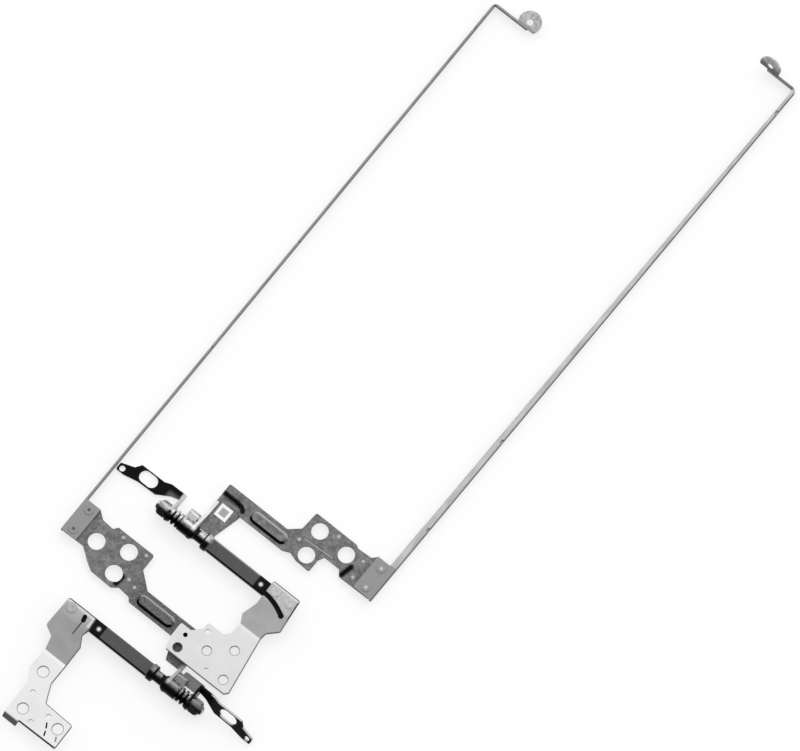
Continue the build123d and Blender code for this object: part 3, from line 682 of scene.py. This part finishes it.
        # Painted shade along the groove and at its end
        radius = plate.reach((*GROOVE_CENTRE, 0), (1, 1, 0))
        groove_shade = plate.band(radius, GROOVE_RADIUS - 0.85, GROOVE_RADIUS + 0.85, 0.15)
        groove = plate.area(x=(29.0, GROOVE_END[0]), z=(4.3, 5.4))
        plate.paint(plate.both(groove_shade, groove), finishes.grease_and_shade_black)
        plate.paint(plate.spot(GROOVE_END, 0.8, 1.05), finishes.grease_and_shade_black)


class HINGE_OT_shaft_arms(bpy.types.Operator):
    """Dark oxide on the flat arms, painted highlight on the +Y bevel, painted shade on the -Y side, and
    steel where the shaft is turned.
    """
    bl_idname = "hinge.shaft_arms"
    bl_label = "Shaft arms"

    def execute(self, context):
        finishes = context.scene.hinge_finishes
        for side in SIDES:
            arm = Finish(f"{side}_arm_oxide", side)
            grain = arm.noise(0.35, (4, 1, 1))
            arm.coat = arm.mottle(finishes.arm_grey, grain, 0.10)
            # Painted highlight on the bevel facing +Y
            lit_bevel = arm.both(arm.ramp(arm.facing_y, 0.2, 0.5), arm.ramp(arm.x, 7.4, 8.0))
            arm.paint(lit_bevel, shade(finishes.arm_grey, BEVEL_HIGHLIGHT_LEVEL[side]))
            # Painted shade on the faces towards -Y
            arm.paint(arm.ramp(arm.facing_y, -0.2, -0.5), finishes.grease_and_shade_black)
            smear = arm.noise(1.1)
            turned_end = arm.ramp(arm.x, *TURNED_END)
            steel = arm.mottle(shade(finishes.bare_steel, TURNED_LEVEL[side]), smear, 0.5)
            arm.paint(turned_end, steel)
            # Painted shade on the turned steel's -Y side
            arm.paint(arm.both(turned_end, arm.ramp(arm.y, 0.5, -0.6)), finishes.grease_and_shade_black)
            # Black rings round the turned shaft
            for ring in DARK_RINGS:
                arm.paint(arm.area(x=ring, z=(0, 7)), finishes.grease_and_shade_black)
            # Black on the arm's tip, a dark finish with painted shade where the pad overhangs it
            arm.paint(arm.ramp(arm.x, *ARM_TIP[side]), finishes.grease_and_shade_black)
            arm.seal(grain, rough=(0.32, 0.46), depth=0.01, metal=0.5)
            arm.give(f"{side}_shaft_arm")
        return {"FINISHED"}


class HINGE_OT_tail_brackets(bpy.types.Operator):
    """Satin black on the tail brackets, with painted highlights on the folds and edges, a painted sheen,
    and a painted reflection on the left link plate.
    """
    bl_idname = "hinge.tail_brackets"
    bl_label = "Tail brackets"

    def execute(self, context):
        finishes = context.scene.hinge_finishes
        black = finishes.tail_black
        for side in SIDES:
            tail = Finish(f"{side}_tail_black", side)
            grain = tail.noise(0.3)
            scuff = tail.noise(1.8, (3, 1, 1))
            tail.coat = tail.mottle(black, grain, 0.3)
            tail.paint(tail.ramp(scuff, 0.58, 0.78), shade(black, 6.0))
            if side == "right":
                # Painted highlight on the fold
                tail.paint(tail.area(*TAIL_FOLD, soft=0.25),
                           shade(finishes.bare_steel, 0.75))
                tail.paint(tail.area(*TAIL_SHEEN, soft=0.9),
                           shade(finishes.arm_grey, 1.4))
                # Painted highlight on faces towards +Y near the tip
                tail.paint(tail.both(tail.ramp(tail.facing_y, 0.4, 0.8), tail.ramp(tail.x, -11.0, -12.0)),
                           shade(finishes.bare_steel, 0.4))
            else:
                # Painted reflection: the flat link plate is the same black steel, painted grey
                tail.paint(tail.area(*LINK_PLATE, z=(0, 1.4)),
                           shade(finishes.arm_grey, 3.2))
                # Painted highlight on the upper edge, which faces up and towards +Y
                edge = tail.both(tail.ramp(tail.facing_y, 0.3, 0.45), tail.ramp(tail.facing_z, 0.5, 0.7),
                                 tail.ramp(tail.x, -12.6, -14.0))
                tail.paint(edge, shade(finishes.bare_steel, 0.7))
            tail.seal(grain, rough=(0.30, 0.42), depth=0.01, metal=0.15, sheen=0.22)
            tail.give(f"{side}_tail_bracket")
        return {"FINISHED"}


class HINGE_OT_friction_stacks(bpy.types.Operator):
    """Bright steel on the rims of the washers, springs, cams and nuts, black grease and painted shade
    between them, and painted shade on their -Y side.
    """
    bl_idname = "hinge.friction_stacks"
    bl_label = "Friction stacks"

    def execute(self, context):
        finishes = context.scene.hinge_finishes
        for side in SIDES:
            steel = shade(finishes.bare_steel, STACK_LEVEL[side])
            for name, bright, bore in STACK:
                metal = Finish(f"{side}_{name}_steel", side)
                grain = metal.noise(0.35)
                smear = metal.noise(1.2)
                metal.coat = metal.mottle(shade(steel, bright), grain, 0.15)
                metal.paint(metal.ramp(smear, 0.52, 0.66), shade(steel, 0.3))
                # Black grease and painted shade between the pieces, inside the bore radius
                metal.paint(metal.ramp(metal.shaft_radius(), bore + 0.3, bore), finishes.grease_and_shade_black)
                # Painted shade on the -Y side
                metal.paint(metal.ramp(metal.y, 0.85, -1.0), finishes.grease_and_shade_black)
                metal.seal(grain, rough=(0.22, 0.36), depth=0.01, metal=0.75)
                metal.give(f"{side}_{name}")
        return {"FINISHED"}


class HINGE_OT_shaft_ends(bpy.types.Operator):
    """Staked boss on the tip of each shaft."""
    bl_idname = "hinge.shaft_ends"
    bl_label = "Shaft ends"

    def execute(self, context):
        sizes = context.scene.hinge_pieces
        steel = context.scene.hinge_finishes.bare_steel
        for side in SIDES:
            inboard = Vector((-OUTBOARD[side], 0, 0))
            tip = at_hinge(side, *BOSS_AT)
            boss = peened_disc(context, f"{side}_staked_end", tip, inboard, sizes.stake_radius,
                               sizes.stake_length, sizes.round_steps)
            end_edit(boss)
            finish = Finish(f"{side}_staked_steel", side)
            grain = finish.noise(0.25)
            finish.coat = finish.mottle(shade(steel, BOSS_LEVEL[side]), grain, 0.15)
            finish.seal(grain, rough=(0.25, 0.38), depth=0.008, metal=0.7)
            finish.give(boss)
            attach(boss, BASE_BODY[side])
        return {"FINISHED"}


class HINGE_OT_rivet_crowns(bpy.types.Operator):
    """Peened crowns on the base brackets' rivets, modelled once and copied."""
    bl_idname = "hinge.rivet_crowns"
    bl_label = "Rivet crowns"

    def execute(self, context):
        sizes = context.scene.hinge_pieces
        finishes = context.scene.hinge_finishes
        up = Vector((0, 0, 1))
        first = at_hinge("left", *ARM_RIVETS["left"][0], CROWN_Z)
        pattern = peened_disc(context, "left_rivet_crown_1", first, up, sizes.crown_radius,
                              sizes.crown_height, sizes.round_steps)
        end_edit(pattern)
        crowns = {"left": [pattern], "right": []}
        for count, at in enumerate(ARM_RIVETS["right"], 1):
            bpy.ops.object.select_all(action="DESELECT")
            pattern.select_set(True)
            context.view_layer.objects.active = pattern
            bpy.ops.object.duplicate()
            copy = context.object
            copy.name = f"right_rivet_crown_{count}"
            bpy.ops.transform.translate(value=at_hinge("right", *at, CROWN_Z) - first)
            bpy.ops.object.transform_apply(location=True, rotation=True, scale=True)
            crowns["right"].append(copy)
        for side in SIDES:
            finish = Finish(f"{side}_crown_steel", side)
            grain = finish.noise(0.25)
            finish.coat = finish.mottle(rivet_grey(finishes, side), finish.noise(0.9), 0.12)
            finish.seal(grain, rough=(0.34, 0.46), depth=0.008, metal=0.45)
            for crown in crowns[side]:
                finish.give(crown)
                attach(crown, BASE_BODY[side])
        return {"FINISHED"}


class HINGE_OT_grease_collars(bpy.types.Operator):
    """Uneven collar of black grease pressed out beside the outer friction washer of each hinge."""
    bl_idname = "hinge.grease_collars"
    bl_label = "Grease collars"

    def execute(self, context):
        sizes = context.scene.hinge_pieces
        finishes = context.scene.hinge_finishes
        for seed, side in enumerate(SIDES, 3):
            bpy.ops.object.select_all(action="DESELECT")
            thickness = sizes.grease_thickness
            bpy.ops.mesh.primitive_torus_add(
                location=at_hinge(side, NECK_X, 0, SHAFT_Z) + Vector((OUTBOARD[side] * thickness, 0, 0)),
                rotation=(0, math.radians(90), 0), major_radius=NECK_R * MM + thickness * 0.6,
                minor_radius=thickness, major_segments=20, minor_segments=6)
            collar = context.object
            collar.name = f"{side}_grease_collar"
            start_edit(context)
            bpy.ops.mesh.select_all(action="SELECT")
            bpy.ops.transform.vertex_random(offset=thickness * 0.5, uniform=0.2, normal=0.6, seed=seed)
            choose(collar, lambda place: place.z < GREASE_SAG_Z * MM)
            bpy.ops.transform.translate(value=(0, 0, -thickness * 0.35))
            bpy.ops.object.mode_set(mode="OBJECT")
            smooth = collar.modifiers.new("Flow", "SUBSURF")
            smooth.levels = 1
            smooth.render_levels = 1
            bpy.ops.object.modifier_apply(modifier=smooth.name)
            end_edit(collar, 80)
            grease = Finish(f"{side}_grease", side)
            grain = grease.noise(0.4)
            grease.coat = grease.mottle(shade(finishes.grease_and_shade_black, 1.8), grain, 0.4)
            grease.seal(grain, rough=(0.16, 0.3), depth=0.02, metal=0.0)
            grease.give(collar)
            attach(collar, BASE_BODY[side])
        return {"FINISHED"}


class HINGE_OT_label(bpy.types.Operator):
    """Paper label with a white border, a plain grey field and one loose corner."""
    bl_idname = "hinge.label"
    bl_label = "Label"

    def execute(self, context):
        sizes = context.scene.hinge_pieces
        finishes = context.scene.hinge_finishes
        half = sizes.label_size / 2
        centre = at_hinge("right", *LABEL_AT, LEAF_TOP) + Vector((0, 0, sizes.label_paper))
        bpy.ops.object.select_all(action="DESELECT")
        bpy.ops.mesh.primitive_plane_add(size=sizes.label_size, location=centre)
        label = context.object
        label.name = "right_label_paper"
        start_edit(context)
        bpy.ops.mesh.select_all(action="SELECT")
        bpy.ops.mesh.subdivide(number_cuts=9)
        corner = centre + Vector((half, half, 0))
        for step in CURL_STEPS:
            reach = sizes.label_size * step
            choose(label, lambda place: (place - corner).to_2d().length < reach)
            bpy.ops.transform.translate(value=(0, 0, sizes.label_curl / len(CURL_STEPS)))
        bpy.ops.object.mode_set(mode="OBJECT")
        thick = label.modifiers.new("Paper", "SOLIDIFY")
        thick.thickness = sizes.label_paper
        thick.offset = -1.0
        bpy.ops.object.modifier_apply(modifier=thick.name)
        end_edit(label)
        paper = Finish("label_paper", "right")
        fibre = paper.noise(0.25)
        paper.coat = paper.mottle(finishes.paper_white, fibre, 0.03)
        inner = (half - sizes.label_border) / MM
        field = paper.area(x=(LABEL_AT[0] - inner, LABEL_AT[0] + inner),
                           y=(LABEL_AT[1] - inner, LABEL_AT[1] + inner), soft=0.12)
        paper.paint(field, paper.mottle(finishes.field_grey, paper.noise(0.7), 0.1))
        paper.seal(fibre, rough=(0.5, 0.65), depth=0.006, metal=0.0)
        paper.give(label, "right_label")
        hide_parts("right_label")
        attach(label, LID_BODY)
        return {"FINISHED"}


class HINGE_OT_stage(bpy.types.Operator):
    """White floor, soft graded sky, one soft lamp and the photograph's camera."""
    bl_idname = "hinge.stage"
    bl_label = "Stage"

    def execute(self, context):
        stage = context.scene.hinge_stage
        bpy.ops.object.select_all(action="DESELECT")
        bpy.ops.mesh.primitive_plane_add(size=stage.floor_size, location=(0, 0, 0))
        floor = context.object
        floor.name = "studio_floor"
        self.paint_floor(floor, stage)
        self.light_sky(context, stage)
        place = Vector(stage.key_place)
        bpy.ops.object.light_add(type="AREA", location=place)
        lamp = context.object
        lamp.name = "key_lamp"
        lamp.data.shape = "RECTANGLE"
        lamp.data.size, lamp.data.size_y = KEY_LAMP_SIZE
        lamp.data.energy = stage.key_power
        lamp.rotation_euler = (-place).to_track_quat("-Z", "Y").to_euler()
        self.set_camera(context, stage)
        context.scene.view_settings.view_transform = "Standard"
        return {"FINISHED"}

    def paint_floor(self, floor, stage):
        """White floor whose own glow, seen only by the camera and in reflections, keeps shadows pale."""
        paint = bpy.data.materials.new("studio_white")
        paint.use_nodes = True
        tree = paint.node_tree
        shader = tree.nodes["Principled BSDF"]
        shader.inputs["Base Color"].default_value = stage.floor_white
        shader.inputs["Roughness"].default_value = 0.9
        shader.inputs["Specular IOR Level"].default_value = 0.0
        glow = tree.nodes.new("ShaderNodeEmission")
        glow.inputs["Color"].default_value = (1, 1, 1, 1)
        glow.inputs["Strength"].default_value = 1.0
        path = tree.nodes.new("ShaderNodeLightPath")
        seen = path.outputs["Is Camera Ray"]
        for ray in ("Is Glossy Ray", "Is Transmission Ray"):
            either = tree.nodes.new("ShaderNodeMath")
            either.operation = "MAXIMUM"
            tree.links.new(seen, either.inputs[0])
            tree.links.new(path.outputs[ray], either.inputs[1])
            seen = either.outputs["Value"]
        share = tree.nodes.new("ShaderNodeMath")
        share.operation = "MULTIPLY"
        share.inputs[1].default_value = stage.floor_glow
        tree.links.new(seen, share.inputs[0])
        blend = tree.nodes.new("ShaderNodeMixShader")
        tree.links.new(share.outputs["Value"], blend.inputs["Fac"])
        tree.links.new(shader.outputs["BSDF"], blend.inputs[1])
        tree.links.new(glow.outputs["Emission"], blend.inputs[2])
        tree.links.new(blend.outputs["Shader"], tree.nodes["Material Output"].inputs["Surface"])
        floor.data.materials.append(paint)

    def light_sky(self, context, stage):
        """A sky that grows brighter towards one side."""
        world = bpy.data.worlds.new("studio_sky")
        context.scene.world = world
        world.use_nodes = True
        tree = world.node_tree
        coordinates = tree.nodes.new("ShaderNodeTexCoord")
        along = tree.nodes.new("ShaderNodeVectorMath")
        along.operation = "DOT_PRODUCT"
        along.inputs[1].default_value = Vector(stage.sky_towards).normalized()
        level = tree.nodes.new("ShaderNodeMapRange")
        level.interpolation_type = "SMOOTHSTEP"
        level.inputs["From Min"].default_value = SKY_SPAN[0]
        level.inputs["From Max"].default_value = SKY_SPAN[1]
        level.inputs["To Min"].default_value = stage.sky_dark
        level.inputs["To Max"].default_value = stage.sky_bright
        tree.nodes["Background"].inputs["Color"].default_value = (1, 1, 1, 1)
        tree.links.new(coordinates.outputs["Generated"], along.inputs[0])
        tree.links.new(along.outputs["Value"], level.inputs["Value"])
        tree.links.new(level.outputs["Result"], tree.nodes["Background"].inputs["Strength"])

    def set_camera(self, context, stage):
        """A far camera with a long lens, leaning a little from overhead."""
        bpy.ops.object.camera_add()
        camera = context.object
        camera.name = "photo_camera"
        camera.rotation_euler = (stage.tilt, 0, stage.heading)
        away = camera.rotation_euler.to_matrix() @ Vector((0, 0, 1))
        camera.location = Vector(stage.target) + away * stage.distance
        camera.data.sensor_width = SENSOR_WIDTH
        camera.data.lens = camera.data.sensor_width * stage.distance / stage.frame_width
        context.scene.camera = camera


class HINGE_PT_panel(bpy.types.Panel):
    """Lists the finishes, the pieces, the stage and the steps that build them."""
    bl_idname = "HINGE_PT_panel"
    bl_label = "Laptop hinge pair"
    bl_space_type = "VIEW_3D"
    bl_region_type = "UI"
    bl_category = "Hinges"

    def draw(self, context):
        column = self.layout.column()
        scene = context.scene
        for settings in (scene.hinge_finishes, scene.hinge_pieces, scene.hinge_stage):
            for name in settings.bl_rna.properties.keys():
                if name not in ("rna_type", "name"):
                    column.prop(settings, name)
        for step in STEPS:
            column.operator(step.bl_idname)


STEPS = (HINGE_OT_lid_brackets, HINGE_OT_screen_rails, HINGE_OT_base_brackets, HINGE_OT_shaft_arms,
         HINGE_OT_tail_brackets, HINGE_OT_friction_stacks, HINGE_OT_shaft_ends, HINGE_OT_rivet_crowns,
         HINGE_OT_grease_collars, HINGE_OT_label, HINGE_OT_stage)
CLASSES = (FinishSettings, PieceSettings, StageSettings) + STEPS + (HINGE_PT_panel,)


def register():
    for cls in CLASSES:
        bpy.utils.register_class(cls)
    bpy.types.Scene.hinge_finishes = PointerProperty(type=FinishSettings)
    bpy.types.Scene.hinge_pieces = PointerProperty(type=PieceSettings)
    bpy.types.Scene.hinge_stage = PointerProperty(type=StageSettings)


def unregister():
    del bpy.types.Scene.hinge_stage
    del bpy.types.Scene.hinge_pieces
    del bpy.types.Scene.hinge_finishes
    for cls in reversed(CLASSES):
        bpy.utils.unregister_class(cls)


def main():
    register()
    bpy.ops.hinge.lid_brackets()
    bpy.ops.hinge.screen_rails()
    bpy.ops.hinge.base_brackets()
    bpy.ops.hinge.shaft_arms()
    bpy.ops.hinge.tail_brackets()
    bpy.ops.hinge.friction_stacks()
    bpy.ops.hinge.shaft_ends()
    bpy.ops.hinge.rivet_crowns()
    bpy.ops.hinge.grease_collars()
    bpy.ops.hinge.label()
    bpy.ops.hinge.stage()


if __name__ == "__main__":
    main()
